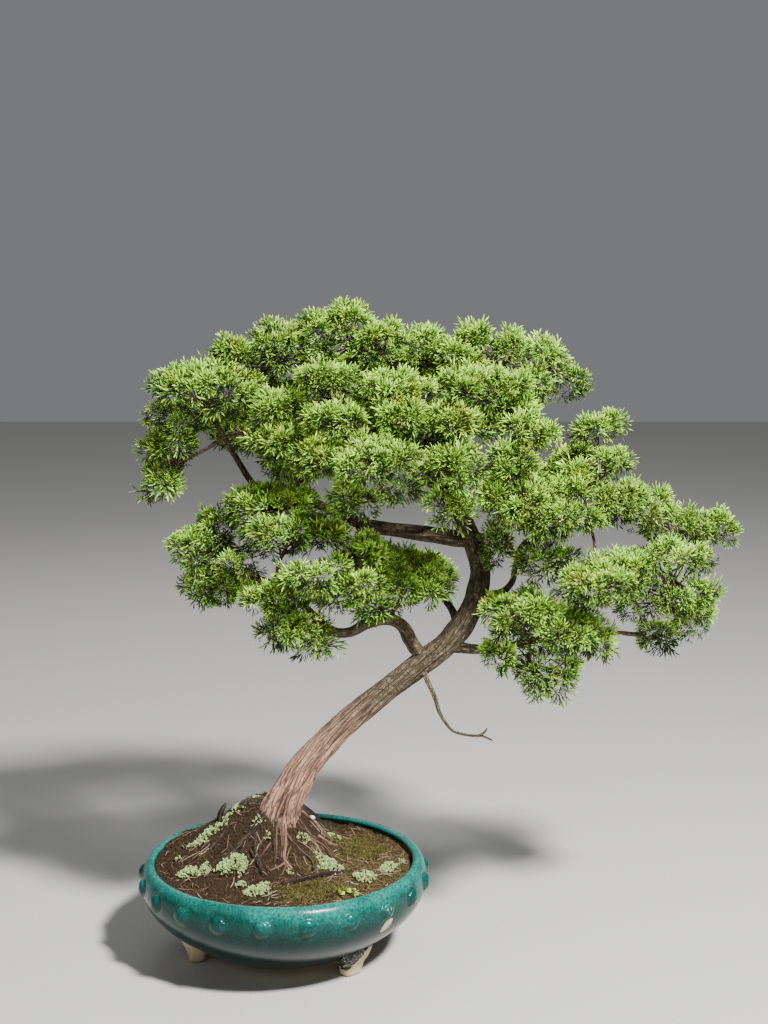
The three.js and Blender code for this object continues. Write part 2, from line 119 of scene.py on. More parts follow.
def spline(route, count):
    """Catmull-Rom curve through the rows of a route, evenly spaced, and how far along it each row lies."""
    rows = np.asarray(route, float)
    padded = np.vstack([2 * rows[0] - rows[1], rows, 2 * rows[-1] - rows[-2]])
    t = np.linspace(0, len(rows) - 1, 40 * len(rows))
    i = np.minimum(t.astype(int), len(rows) - 2)
    t = (t - i)[:, None]
    a, b, c, d = (padded[i + k] for k in range(4))
    curve = 0.5 * (2 * b + (c - a) * t + (2 * a - 5 * b + 4 * c - d) * t**2 + (3 * b - a - 3 * c + d) * t**3)
    run = np.concatenate([[0], np.cumsum(np.linalg.norm(np.diff(curve[:, :3], axis=0), axis=1))])
    even = np.linspace(0, run[-1], count)
    return np.stack([np.interp(even, run, column) for column in curve.T], axis=1), even


def sides_along(centres):
    """Two unit directions across a path at each of its points, carried along it so that they never spin."""
    tangents = unit(np.gradient(centres, axis=0))
    across = unit(np.cross(tangents[0], [0.31, 0.93, 0.17]))
    sides = []
    for tangent in tangents:
        across = unit(across - tangent * (across @ tangent))
        sides.append(across)
    return np.array(sides), np.cross(tangents, sides)


# ---- meshes

def grid_faces(rows, columns, closed_rows=False):
    """Quads of a grid of points whose columns run round and meet, and whose rows meet too if asked."""
    r = np.arange(rows if closed_rows else rows - 1)[:, None]
    c = np.arange(columns)[None, :]
    nxt, right = (r + 1) % rows, (c + 1) % columns
    quads = [r * columns + c, r * columns + right, nxt * columns + right, nxt * columns + c]
    return np.stack(np.broadcast_arrays(*quads), axis=-1).reshape(-1, 4)


def triangles(quads):
    """Each quad as two triangles."""
    return np.concatenate([quads[:, [0, 1, 2]], quads[:, [0, 2, 3]]])


def rings_about(centres, angle, reach):
    """Rings round a path: centre + reach (u cos a + v sin a), with u and v the two directions across it."""
    u, v = sides_along(centres)
    a = angle[None, :, None]
    return centres[:, None] + reach[..., None] * (np.cos(a) * u[:, None] + np.sin(a) * v[:, None])


def ringed_tube(centres, radii, sides):
    """A closed tube with a ring of the given radius at each centre, and pointed ends."""
    angle = np.linspace(0, TAU, sides, endpoint=False)
    rings = rings_about(centres, angle, np.asarray(radii, float)[:, None])
    return capped(rings, centres[0], centres[-1])


def capped(rings, start, end):
    """Points and triangles of a stack of rings, closed at each end by a fan about a given point."""
    count, sides = rings.shape[:2]
    points = np.vstack([rings.reshape(-1, 3), start, end])
    ring = np.arange(sides)
    nxt = (ring + 1) % sides
    last = (count - 1) * sides
    first_fan = np.stack([np.full(sides, count * sides), nxt, ring], axis=1)
    last_fan = np.stack([np.full(sides, count * sides + 1), last + ring, last + nxt], axis=1)
    return points, np.concatenate([triangles(grid_faces(count, sides)), first_fan, last_fan])


def bundle(parts):
    """Several (points, faces, *values) shapes as one, with the faces renumbered."""
    starts = np.cumsum([0] + [len(part[0]) for part in parts[:-1]])
    faces = np.concatenate([part[1] + start for part, start in zip(parts, starts)])
    columns = [np.concatenate([part[k] for part in parts]) for k in range(2, len(parts[0]))]
    return (np.concatenate([part[0] for part in parts]), faces, *columns)


def copies(points, faces, places, turns):
    """One copy of a small shape for each place: its points times that copy's 3 x 3 turn, plus the place."""
    spots = np.einsum("nij,kj->nki", turns, points) + places[:, None, :]
    numbers = faces[None] + (np.arange(len(places)) * len(points))[:, None, None]
    return spots.reshape(-1, 3), numbers.reshape(-1, faces.shape[1])


def turns_towards(directions, scale, random):
    """For each direction a matrix that takes +Z to it, with a random spin about it, times a scale."""
    z = unit(directions)
    helper = unit(random.normal(size=z.shape))
    x = unit(np.cross(helper, z))
    y = np.cross(z, x)
    return np.stack([x, y, z], axis=-1) * np.asarray(scale).reshape(-1, 1, 1)


def make_piece(name, shape, material, stands_for, values=None, smooth=True):
    """A mesh object in the frame, from points about the pot's axis, faces, and named values at the points."""
    points, faces = shape[:2]
    mesh = bpy.data.meshes.new(name)
    mesh.vertices.add(len(points))
    mesh.vertices.foreach_set("co", ((points + AXIS) * MM).astype(np.float32).ravel())
    mesh.loops.add(faces.size)
    mesh.loops.foreach_set("vertex_index", faces.astype(np.int32).ravel())
    mesh.polygons.add(len(faces))
    mesh.polygons.foreach_set("loop_start", np.arange(0, faces.size, faces.shape[1], dtype=np.int32))
    mesh.polygons.foreach_set("use_smooth", np.full(len(faces), smooth))
    mesh.update(calc_edges=True)
    for label, array in (values or {}).items():
        array = np.asarray(array, np.float32)
        kind, field = ("FLOAT_VECTOR", "vector") if array.ndim == 2 else ("FLOAT", "value")
        mesh.attributes.new(label, kind, "POINT").data.foreach_set(field, array.ravel())
    mesh.materials.append(material)
    piece = bpy.data.objects.new(name, mesh)
    bpy.context.scene.collection.objects.link(piece)
    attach(piece, "root")
    if stands_for:
        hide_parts(*stands_for)
    return piece


# ---- materials

class Finish:
    """A node material being built: short calls that add one node each and return its output."""

    def __init__(self, name, **sockets):
        self.material = bpy.data.materials.new(name)
        self.material.use_nodes = True
        self.nodes = self.material.node_tree.nodes
        self.shader = self.nodes["Principled BSDF"]
        for socket, value in sockets.items():
            self.shader.inputs[socket.replace("_", " ")].default_value = value

    def add(self, kind, inputs=None, **settings):
        node = self.nodes.new("ShaderNode" + kind)
        for key, value in settings.items():
            setattr(node, key, value)
        for key, value in (inputs or {}).items():
            self.feed(node.inputs[key], value)
        return node

    def feed(self, socket, value):
        if isinstance(value, bpy.types.NodeSocket):
            self.material.node_tree.links.new(value, socket)
        else:
            socket.default_value = value

    def place(self):
        return self.add("TexCoord").outputs["Object"]

    def value(self, attribute):
        return self.add("Attribute", attribute_name=attribute).outputs["Fac"]

    def vector(self, attribute):
        return self.add("Attribute", attribute_name=attribute).outputs["Vector"]

    def noise(self, vector, scale, detail=4.0, roughness=0.55, distortion=0.0):
        inputs = {"Vector": vector, "Scale": scale, "Detail": detail}
        inputs |= {"Roughness": roughness, "Distortion": distortion}
        return self.add("TexNoise", inputs).outputs["Fac"]

    def warped(self, vector, scale, amount):
        shift = self.add("TexNoise", {"Vector": vector, "Scale": scale}).outputs["Color"]
        inputs = {0: shift, 1: (amount,) * 3, 2: vector}
        return self.add("VectorMath", inputs, operation="MULTIPLY_ADD").outputs[0]

    def cell_edges(self, vector, scale):
        inputs = {"Vector": vector, "Scale": scale}
        return self.add("TexVoronoi", inputs, feature="DISTANCE_TO_EDGE").outputs["Distance"]

    def ramp(self, value, stops):
        node = self.add("ValToRGB", {"Fac": value})
        elements = node.color_ramp.elements
        while len(elements) < len(stops):
            elements.new(0.5)
        for element, (position, colour) in zip(elements, stops):
            element.position = position
            element.color = (*colour, 1.0)
        return node.outputs["Color"]

    def between(self, value, low, high, to_low=0.0, to_high=1.0):
        inputs = {"Value": value, "From Min": low, "From Max": high, "To Min": to_low, "To Max": to_high}
        return self.add("MapRange", inputs).outputs["Result"]

    def mix(self, factor, a, b, blend="MIX"):
        node = self.add("Mix", data_type="RGBA", blend_type=blend)
        for socket, value in zip((node.inputs[0], node.inputs[6], node.inputs[7]), (factor, a, b)):
            self.feed(socket, (*value, 1.0) if isinstance(value, tuple) and len(value) == 3 else value)
        return node.outputs[2]

    def math(self, operation, a, b=0.0):
        return self.add("Math", {0: a, 1: b}, operation=operation).outputs[0]

    def plus(self, a, b):
        return self.math("ADD", a, b)

    def minus(self, a, b):
        return self.math("SUBTRACT", a, b)

    def times(self, a, b):
        return self.math("MULTIPLY", a, b)

    def swing(self, noise, strength):
        """A noise moved to swing either side of nothing, times a strength."""
        return self.times(self.minus(noise, 0.5), strength)

    def bump(self, height, strength, distance):
        inputs = {"Height": height, "Strength": strength, "Distance": distance}
        return self.add("Bump", inputs).outputs["Normal"]

    def shade(self, **links):
        for socket, value in links.items():
            self.feed(self.shader.inputs[socket.replace("_", " ")], value)
        return self.material


def glaze_finish():
    """Mottled teal glaze, with a painted highlight on the shoulder and painted shade lower down, partly the
    glaze's own change of tone, and bare clay where it is missing.
    """
    f = Finish("glaze", Specular_IOR_Level=0.24)
    place = f.place()
    height = f.add("SeparateXYZ", {0: place}).outputs["Z"]
    broad = f.noise(place, 22.0, 3.0)
    fine = f.noise(place, 330.0, 6.0, 0.7)
    speck = f.noise(place, 900.0, 3.0, 0.6)
    # Height plus broad mottling: the low end of this ramp is painted shade on the lower bowl and its top a
    # painted highlight on the shoulder, partly the glaze's own tone.
    tone_and_painted_light = f.plus(f.between(height, 0.02, 0.114), f.swing(broad, 0.5))
    body = f.ramp(tone_and_painted_light, [(0.0, (0.002, 0.006, 0.006)), (0.3, (0.0006, 0.012, 0.0105)),
                          (0.62, (0.001, 0.031, 0.026)), (0.85, (0.002, 0.072, 0.058)),
                          (1.0, (0.02, 0.22, 0.18))])
    dark = f.mix(f.between(fine, 0.38, 0.6, 0.35, 1.0), (0.001, 0.008, 0.007), body)
    light = f.mix(f.between(speck, 0.58, 0.74, 0.0, 0.3), dark, (0.05, 0.3, 0.25))
    edge = f.plus(f.value("bare"), f.swing(fine, 0.9))
    bare = f.between(edge, 0.47, 0.53)
    grain = f.noise(place, 700.0, 4.0)
    clay = f.ramp(grain, [(0.3, (0.42, 0.33, 0.2)), (0.7, (0.68, 0.56, 0.37))])
    relief = f.plus(f.times(broad, 0.6), f.times(fine, 0.25))
    glossy = f.between(speck, 0.4, 0.7, 0.12, 0.3)
    return f.shade(
        Base_Color=f.mix(bare, light, clay),
        Roughness=f.add("Mix", {0: bare, 2: glossy, 3: 0.85}).outputs[0],
        Normal=f.bump(f.minus(relief, f.times(bare, 0.3)), 0.5, 0.0012),
    )


def soil_finish():
    """Dark peaty soil with reddish crumbs and pale grit."""
    f = Finish("soil", Roughness=0.95, Specular_IOR_Level=0.2)
    place = f.place()
    crumbs = f.noise(place, 420.0, 5.0, 0.7)
    patches = f.noise(place, 30.0, 3.0)
    earth = f.ramp(crumbs, [(0.3, (0.006, 0.004, 0.003)), (0.5, (0.03, 0.017, 0.009)),
                            (0.68, (0.085, 0.048, 0.024)), (0.8, (0.19, 0.13, 0.07))])
    mossy = f.ramp(crumbs, [(0.3, (0.012, 0.01, 0.003)), (0.55, (0.095, 0.07, 0.024)),
                            (0.8, (0.32, 0.25, 0.11))])
    cover = f.between(f.plus(f.value("moss"), f.swing(patches, 1.1)), 0.35, 0.65)
    return f.shade(Base_Color=f.mix(cover, earth, mossy), Normal=f.bump(crumbs, 1.0, 0.003))


def crumb_finish():
    """Loose crumbs and fibres: each piece its own shade from nearly black to straw, by its tint."""
    f = Finish("litter", Roughness=0.9, Specular_IOR_Level=0.2)
    shades = [(0.0, (0.012, 0.007, 0.004)), (0.45, (0.05, 0.026, 0.013)), (0.75, (0.13, 0.075, 0.035)),
              (0.93, (0.32, 0.22, 0.12)), (1.0, (0.5, 0.42, 0.3))]
    tone = f.ramp(f.value("tint"), shades)
    return f.shade(Base_Color=f.mix(f.noise(f.place(), 900.0, 3.0), tone, (0.05, 0.03, 0.018)))


def moss_finish():
    """Olive to straw-brown moss: dark between the shoots, lighter at their tips."""
    f = Finish("moss", Roughness=0.9, Specular_IOR_Level=0.2)
    tips = f.plus(f.times(f.value("tip"), 0.7), f.times(f.value("tint"), 0.35))
    green = f.ramp(tips, [(0.0, (0.012, 0.012, 0.003)), (0.45, (0.055, 0.055, 0.012)),
                          (0.75, (0.12, 0.1, 0.028)), (1.0, (0.3, 0.24, 0.09))])
    return f.shade(Base_Color=green)


def lichen_finish():
    """Pale mint lichen, whiter at the tips of its branches and browner where it sits on the ground."""
    f = Finish("lichen", Roughness=0.85, Specular_IOR_Level=0.25)
    tips = f.plus(f.times(f.value("tip"), 0.75), f.times(f.value("tint"), 0.25))
    pale = f.ramp(tips, [(0.0, (0.06, 0.07, 0.02)), (0.4, (0.26, 0.35, 0.12)), (0.8, (0.5, 0.64, 0.27)),
                         (1.0, (0.68, 0.8, 0.42))])
    return f.shade(Base_Color=f.mix(f.noise(f.place(), 500.0, 3.0), pale, (0.3, 0.4, 0.14)))


def bark_finish():
    """Stringy bark: pinkish brown low down, grey-brown higher up, and dark in its furrows and cracks, partly
    the bark's own colour there and partly painted shade.
    """
    f = Finish("bark", Roughness=0.85, Specular_IOR_Level=0.25)
    grain = f.vector("grain")
    fibres = f.noise(grain, 1.1, 8.0, 0.75, 0.5)
    flakes = f.noise(grain, 0.22, 4.0, 0.6, 0.6)
    cracks = f.noise(f.place(), 190.0, 5.0, 0.7, 0.8)
    fibres = f.plus(f.times(fibres, 0.55), f.times(cracks, 0.45))
    strips = f.cell_edges(grain, 0.24)
    plates = f.cell_edges(f.warped(f.place(), 130.0, 0.014), 105.0)
    gaps = f.math("MINIMUM", strips, f.plus(plates, f.between(f.value("age"), 0.25, 0.7, 0.3, 0.0)))
    split = f.between(f.minus(gaps, f.times(cracks, 0.12)), 0.03, -0.05)
    young = f.ramp(fibres, [(0.32, (0.08, 0.04, 0.026)), (0.44, (0.38, 0.2, 0.13)), (0.56, (0.7, 0.42, 0.29)),
                            (0.7, (0.92, 0.73, 0.57))])
    old = f.ramp(fibres, [(0.34, (0.014, 0.01, 0.006)), (0.46, (0.11, 0.083, 0.048)),
                          (0.57, (0.23, 0.18, 0.11)), (0.68, (0.54, 0.47, 0.33))])
    age = f.between(f.plus(f.value("age"), f.swing(flakes, 0.7)), 0.15, 0.7)
    tone = f.mix(age, young, old)
    # Darker in the furrows: partly the bark's own colour, partly painted shade in the recesses.
    tone = f.mix(f.times(f.value("furrow"), 0.7), tone, (0.03, 0.019, 0.012))
    height = f.add("SeparateXYZ", {0: f.place()}).outputs["Z"]
    damp = f.times(f.between(height, 0.2, 0.165), f.between(flakes, 0.35, 0.6, 0.55, 1.0))
    damp = f.times(damp, f.between(f.value("age"), 0.05, 0.4, 0.45, 1.0))
    tone = f.mix(damp, tone, (0.02, 0.011, 0.008))
    # Darker in the cracks between strips and plates: partly the bark's own colour, partly painted shade.
    tone = f.mix(f.times(split, 0.7), tone, (0.012, 0.008, 0.005))
    relief = f.minus(fibres, f.times(split, 0.5))
    return f.shade(Base_Color=tone, Normal=f.bump(relief, 1.0, 0.002))


def foliage_finish():
    """Scale-leaf shoots: dark green and brown inside, partly their own older colour and partly painted shade,
    mid green along them, and yellow-green at their tips, partly new growth and partly a painted highlight.
    """
    f = Finish("foliage", Roughness=0.6, Specular_IOR_Level=0.3)
    tips = f.value("tip")
    # The tint holds each sprig's random tone and also painted shade on sprigs that face down.
    tint = f.value("tint")
    # Nearness to the tip plus tint: the dark low end is painted shade inside the pads, the bright top a
    # painted highlight on the tips, each partly the shoots' own colour.
    tone_and_painted_light = f.plus(tips, f.swing(tint, 0.5))
    green = f.ramp(tone_and_painted_light, [(0.0, (0.002, 0.003, 0.001)), (0.42, (0.007, 0.017, 0.002)),
                           (0.62, (0.062, 0.13, 0.01)), (0.8, (0.26, 0.48, 0.04)), (1.0, (0.56, 0.92, 0.12))])
    yellow = f.ramp(tone_and_painted_light, [(0.0, (0.006, 0.005, 0.001)), (0.42, (0.02, 0.024, 0.003)),
                            (0.66, (0.17, 0.22, 0.018)), (0.82, (0.46, 0.58, 0.05)),
                            (1.0, (0.8, 0.94, 0.14))])
    warm = f.between(f.noise(f.place(), 26.0, 2.0), 0.52, 0.78)
    return f.shade(Base_Color=f.mix(warm, green, yellow))


def plain_finish(name, colour, **sockets):
    """A finish whose colour only varies a little from place to place."""
    f = Finish(name, **sockets)
    shade = tuple(0.7 * c for c in colour)
    return f.shade(Base_Color=f.mix(f.noise(f.place(), 300.0), colour, shade))


GLAZE = glaze_finish()
SOIL = soil_finish()
LITTER = crumb_finish()
MOSS = moss_finish()
LICHEN = lichen_finish()
BARK = bark_finish()
FOLIAGE = foliage_finish()


# ---- pot

STUDS = 21
STUD_RADIUS = 10.0
STUD_RISE = 5.0
STUD_HEIGHT = 95.0
FIRST_STUD = math.radians(-94.8)
BOWL_ROWS = 34
SHOULDER_ROWS = 39
FOOT_ANGLES = np.radians([-42.0, 78.0, 198.0])
CHIP_ANGLE = math.radians(-42.5)
CHIP_HEIGHT = 76.0
WORN_STUD = math.radians(-43.4)


def pot_profile():
    """Radius and height round the wall's section: base, bowl, shoulder, lip, inside and inner floor.

    The bowl widens as sin(a)^2.2 while it rises as 1 - cos(a); the shoulder is a quarter of an ellipse.
    """
    def bowl(a, belly, floor):
        return np.stack([BASE_RADIUS + (belly - BASE_RADIUS) * np.sin(a) ** BELLY_TAPER,
                         floor + (BELLY_HEIGHT - floor) * (1 - np.cos(a))], 1)

    def shoulder(a, belly, crest, top):
        return np.stack([crest + (belly - crest) * np.cos(a),
                         BELLY_HEIGHT + (top - BELLY_HEIGHT) * np.sin(a)], 1)

    quarter = math.pi / 2
    lip = np.linspace(quarter, math.pi, 8)[1:]
    return np.concatenate([
        np.stack([np.linspace(DRAIN_RADIUS, BASE_RADIUS, 6), np.full(6, FOOT_HEIGHT)], 1)[:-1],
        bowl(np.linspace(0, quarter, BOWL_ROWS), BELLY_RADIUS, FOOT_HEIGHT),
        shoulder(np.linspace(0, quarter, SHOULDER_ROWS + 1)[1:], BELLY_RADIUS, CREST_RADIUS, RIM),
        np.stack([CREST_RADIUS + 4 * np.cos(lip), RIM - 4 + 4 * np.sin(lip)], 1),
        shoulder(np.linspace(quarter, 0, 8)[1:], BELLY_RADIUS - WALL, MOUTH_RADIUS, RIM - 6),
        bowl(np.linspace(quarter, 0, 10)[1:], BELLY_RADIUS - WALL, FLOOR_TOP),
        [[DRAIN_RADIUS, FLOOR_TOP]],
    ])


def stud_columns():
    """Angles round the pot, crowded where studs stand: a sine pulls the even columns towards each stud."""
    even = np.linspace(0, TAU, STUDS * 24, endpoint=False)
    return FIRST_STUD + even - 0.82 * np.sin(STUDS * even) / STUDS


def make_pot():
    """Bowl turned from its profile; a stud is a dome, sqrt(1 - d^2), added along the wall's outward side."""
    profile = pot_profile()
    angles = stud_columns()
    radius, height = (column[:, None] for column in profile.T)
    slope = unit(np.gradient(profile, axis=0))
    outward = np.stack([slope[:, 1], -slope[:, 0]], 1)
    turn = (angles - FIRST_STUD + math.pi / STUDS) % (TAU / STUDS) - math.pi / STUDS
    distance = np.hypot(turn[None, :] * radius, (height - STUD_HEIGHT) * 1.02) / STUD_RADIUS
    outside = (np.arange(len(profile)) < 5 + BOWL_ROWS + SHOULDER_ROWS)[:, None]
    dome = STUD_RISE * np.sqrt(np.clip(1 - distance**2, 0, 1)) * outside
    groove = -0.5 * np.exp(-(((distance - 1.12) / 0.16) ** 2)) * outside
    wobble = 0.7 * np.sin(3 * angles + 0.8)[None, :] * smoothstep(40, 110, height) * outside
    reach = dome + groove + wobble
    r = radius + reach * outward[:, :1]
    z = height + reach * outward[:, 1:]
    points = np.stack([r * np.cos(angles), r * np.sin(angles), z + 0 * r], -1)
    aside = (angles[None, :] - CHIP_ANGLE) * radius
    chip = np.hypot((aside - 0.45 * (height - CHIP_HEIGHT)) / 7.5, (height - CHIP_HEIGHT) / 8.5)
    worn = np.hypot((angles[None, :] - WORN_STUD) * radius / 9.0, (height - STUD_HEIGHT) / 9.0)
    bare = np.maximum(smoothstep(1.15, 0.85, chip), 0.42 * smoothstep(1.2, 0.5, worn)) * outside
    inside = (~outside) & (height < RIM - 12)
    bare = np.maximum(bare, inside * 1.0)
    bare = np.maximum(bare, (height < FOOT_HEIGHT + 0.3) * 1.0)
    flat = points.reshape(-1, 3)
    return flat, triangles(grid_faces(*points.shape[:2], closed_rows=True)), (bare + 0 * r).ravel()


def make_foot(angle):
    """A cloud-shaped foot: a rounded block that widens upwards and outwards until it runs into the bowl."""
    t = np.linspace(0, 1, 26)[:, None]
    around = np.linspace(0, TAU, 44, endpoint=False)[None, :]
    z = (FOOT_HEIGHT + 20) * (1 - t) + 0 * around
    flare = 12.5 + 12.0 * (1 - smoothstep(0, 0.95, t)) ** 1.2
    sole = np.sqrt(1 - 0.45 * np.clip((t - 0.9) / 0.1, 0, 1) ** 2)
    corner = (np.abs(np.cos(around)) ** 3 + np.abs(np.sin(around)) ** 3) ** (-1 / 3)
    deep = 0.8 * flare * sole * corner * np.cos(around)
    wide = 1.05 * flare * sole * corner * np.sin(around)
    ripple = 0.9 * lattice_noise(np.stack([deep, wide, z], -1).reshape(-1, 3), 7.0, 5).reshape(z.shape)
    ring = 109.0 + 2.0 * (1 - t) + deep + ripple
    x = ring * math.cos(angle) - wide * math.sin(angle)
    y = ring * math.sin(angle) + wide * math.cos(angle)
    inside = np.hypot(x, y) < 101
    z = np.where(inside, np.minimum(z, FOOT_HEIGHT + 4), z)
    rings = np.stack([x, y, z], -1)[::-1]
    points, faces = capped(rings, rings[0].mean(0), rings[-1].mean(0))
    turned = points[:, 0] * math.sin(angle) - points[:, 1] * math.cos(angle)
    glazed = smoothstep(6, 24, points[:, 2] + 1.2 * (turned - 5))
    return points, faces, np.clip(1 - 0.57 * glazed, 0, 1)


pot_shape = bundle([make_pot(), *(make_foot(angle) for angle in FOOT_ANGLES)])
make_piece("pot_glazed", pot_shape, GLAZE, ["pot"], {"bare": pot_shape[2]})


# ---- soil and what lies on it

def soil_height(x, y):
    """Level ground with one mound: a Gaussian whose spread differs to the left, right, front and back."""
    across = (x + 10.0) / np.where(x < -10.0, 68.0, 40.0)
    along = (y - 32.0) / np.where(y < 32.0, 50.0, 45.0)
    return SOIL_LEVEL + 76.0 * np.exp(-(across**2 + along**2) / 2)


def rough_soil(x, y):
    """The mound's height with clods of three sizes added."""
    flat = np.stack([x, y, 0 * x], -1).reshape(-1, 3)
    sizes = ((2.6, 16.0, 11), (1.5, 6.0, 12), (0.9, 2.6, 13))  # each kind's height, width and seed
    clods = sum(height * lattice_noise(flat, width, seed) for height, width, seed in sizes)
    return soil_height(x, y) + clods.reshape(np.shape(x))


def moss_share(x, y):
    """How mossy the ground is, from 0 to the left of the mound to 0.9 at the front right."""
    right = smoothstep(-20, 90, x + 0.35 * (-40 - y))
    return 0.9 * right


def make_soil():
    """Rings of ground from the middle to the wall, then straight down and back to the middle underneath."""
    angles = np.linspace(0, TAU, 300, endpoint=False)
    radius = np.concatenate([np.linspace(1.5, 154.0, 118), [157.0, 158.0, 118.0]])[:, None]
    x, y = radius * np.cos(angles), radius * np.sin(angles)
    z = rough_soil(x, y)
    z[118], z[119], z[120] = np.minimum(z[117] - 6, RIM - 14), 88.0, 44.0
    rings = np.stack([x, y, z], -1)
    points, faces = capped(rings, [0, 0, z[0].mean()], [0, 0, 34.0])
    return points, faces[:, ::-1], np.clip(moss_share(points[:, 0], points[:, 1]), 0, 1)


soil_shape = make_soil()
make_piece("soil_ground", soil_shape, SOIL, ["soil"], {"moss": soil_shape[2]})


# ---- wood

GRAIN_STRETCH = 0.06  # how far the bark's grain moves on for each millimetre along a limb

TRUNK = [  # points across, deep and up from the collar, and the radius
    [-8, 14, -32, 27], [-5, 12, -8, 25], [3, 10, 12, 22], [28, 6, 57, 19], [60, 2, 95, 17], [94, -2, 127, 16],
    [130, -5, 157, 15.5], [165, -8, 185, 16], [195, -8, 209, 15.5], [217, -5, 238, 14.5], [230, 0, 266, 13.5],
    [234, 5, 296, 13], [226, 8, 324, 12.5], [212, 10, 354, 12], [198, 12, 390, 11], [186, 14, 430, 10],
    [168, 12, 477, 8.5], [145, 12, 522, 6.5], [115, 12, 552, 4.5], [90, 10, 575, 3],
]

BRANCHES = {
    "low_left": [[168, -6, 187, 9], [152, -16, 213, 8.5], [143, -22, 231, 8], [127, -30, 242, 7.5],
                 [102, -38, 239, 7], [80, -44, 230, 6.5], [58, -50, 234, 6], [33, -52, 258, 5],
                 [2, -50, 284, 4], [-33, -42, 296, 3.4], [-68, -30, 300, 2.6]],
    "big_left": [[217, 8, 330, 10], [191, 0, 335, 9.5], [157, -6, 341, 9], [122, -10, 346, 8.5],
                 [87, -15, 355, 7.5], [52, -15, 372, 6.5], [11, -10, 383, 5.5], [-26, -5, 392, 4.5],
                 [-52, -5, 430, 3.6], [-74, -8, 470, 2.8]],
    "right": [[232, 2, 264, 5.5], [257, -6, 269, 4.2], [270, -12, 283, 3.7], [274, -16, 305, 3.4],
              [283, -18, 330, 3.2], [315, -20, 343, 3], [359, -18, 357, 2.8], [407, -10, 364, 2.4],
              [455, 0, 350, 2]],
    "low_right": [[198, -8, 206, 8.5], [222, -14, 203, 7], [256, -20, 205, 5.5], [303, -24, 217, 4.5],
                  [344, -20, 222, 3.8], [385, 5, 219, 3.2], [430, 40, 208, 2.4]],
    "front": [[213, 8, 352, 7], [205, -22, 378, 6], [185, -60, 398, 5], [155, -90, 420, 4],
              [115, -100, 452, 3]],
    "back_right": [[232, 6, 300, 7], [242, 40, 322, 6], [262, 78, 342, 5], [292, 112, 356, 4]],
    "back_left": [[200, 12, 386, 7], [172, 48, 408, 6], [136, 84, 424, 5], [92, 112, 432, 4]],
    "up_right": [[190, 14, 420, 6.5], [208, 16, 462, 5.5], [232, 18, 500, 4.5], [268, 20, 528, 3.5],
                 [312, 20, 530, 2.6]],
    "back_low": [[208, -4, 226, 6], [202, 36, 240, 5], [186, 74, 252, 4], [160, 104, 258, 3.2]],
    "dead_twig": [[165, -8, 184, 4.2], [171, -24, 168, 3], [180, -34, 150, 2.5], [186, -40, 132, 2.1],
                  [200, -46, 114, 1.9], [220, -50, 109, 1.7], [234, -52, 109, 1.7], [246, -53, 104, 1.1]],
    "dead_fork": [[228, -51, 108, 1.6], [236, -54, 113, 1.3], [240, -56, 119, 0.9]],
}

ROOTS = {  # points across and deep from the axis, the root's radius, and how dark its bark is
    "pale": ([[-2, 4, 7], [0, -12, 5], [2, -28, 4], [2, -44, 3.2], [12, -56, 2.4]], 0.1),
    "pale_second": ([[-8, 0, 5], [-9, -18, 3], [-8, -34, 2.4], [-8, -50, 1.8]], 0.5),
    "dark": ([[-12, 4, 9], [-28, -8, 7], [-42, -20, 5.5], [-58, -32, 4], [-74, -42, 2.6]], 1.0),
    "ridge": ([[-18, 16, 10], [-44, 24, 8], [-70, 26, 6], [-96, 18, 4.4], [-116, 2, 3]], 1.0),
    "low": ([[-34, -14, 3.4], [-32, -36, 3.2], [-22, -60, 3], [-14, -72, 2.2]], 0.9),
    "right": ([[16, 4, 6], [32, -4, 4], [46, -2, 3], [60, -12, 2.4], [76, -12, 1.8]], 0.5),
    "back": ([[12, 26, 10], [30, 44, 7], [52, 66, 5], [70, 88, 3.4]], 0.9),
}


def from_collar(route):
    """A route whose heights were counted from the collar, with heights from the ground."""
    return np.asarray(route, float) + [0, 0, COLLAR, 0]


def along_soil(route):
    """A surface root's points, lying a fifth of its radius into the mound."""
    rows = np.asarray(route, float)
    x, y, r = rows.T
    return np.stack([x, y, soil_height(x, y) - 0.2 * r, r], axis=1)


